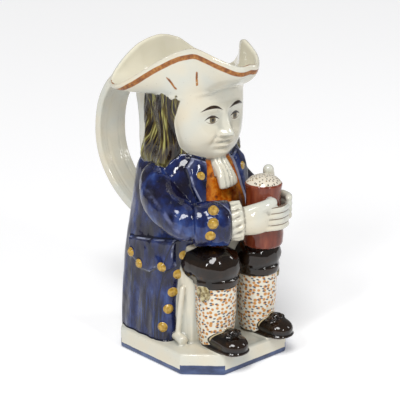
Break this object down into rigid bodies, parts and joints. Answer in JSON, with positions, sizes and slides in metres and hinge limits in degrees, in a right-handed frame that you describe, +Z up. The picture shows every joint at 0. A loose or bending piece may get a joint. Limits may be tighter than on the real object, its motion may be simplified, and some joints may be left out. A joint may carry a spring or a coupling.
{
  "type": "toby jug",
  "caption": "Seated figure jug in glazed earthenware: a man in a long coat holds a jug of ale, his cocked hat is the open mouth and a strap handle is at the back.",
  "frame": {"origin": "middle of the flat underside of the base, on the surface that the jug stands on", "axes": "+Z up; the figure faces -Y and the handle is on +Y; the figure's right side and its pipe are on -X"},
  "size_m": [0.1194, 0.1923, 0.245],
  "materials": {
    "glazed_earthenware": "cream body painted under the glaze in cobalt blue, ochre, orange and brown, and covered with a glossy clear lead glaze"
  },
  "bodies": {
    "root": {"toby_jug": "glazed_earthenware"}
  },
  "joints": []
}
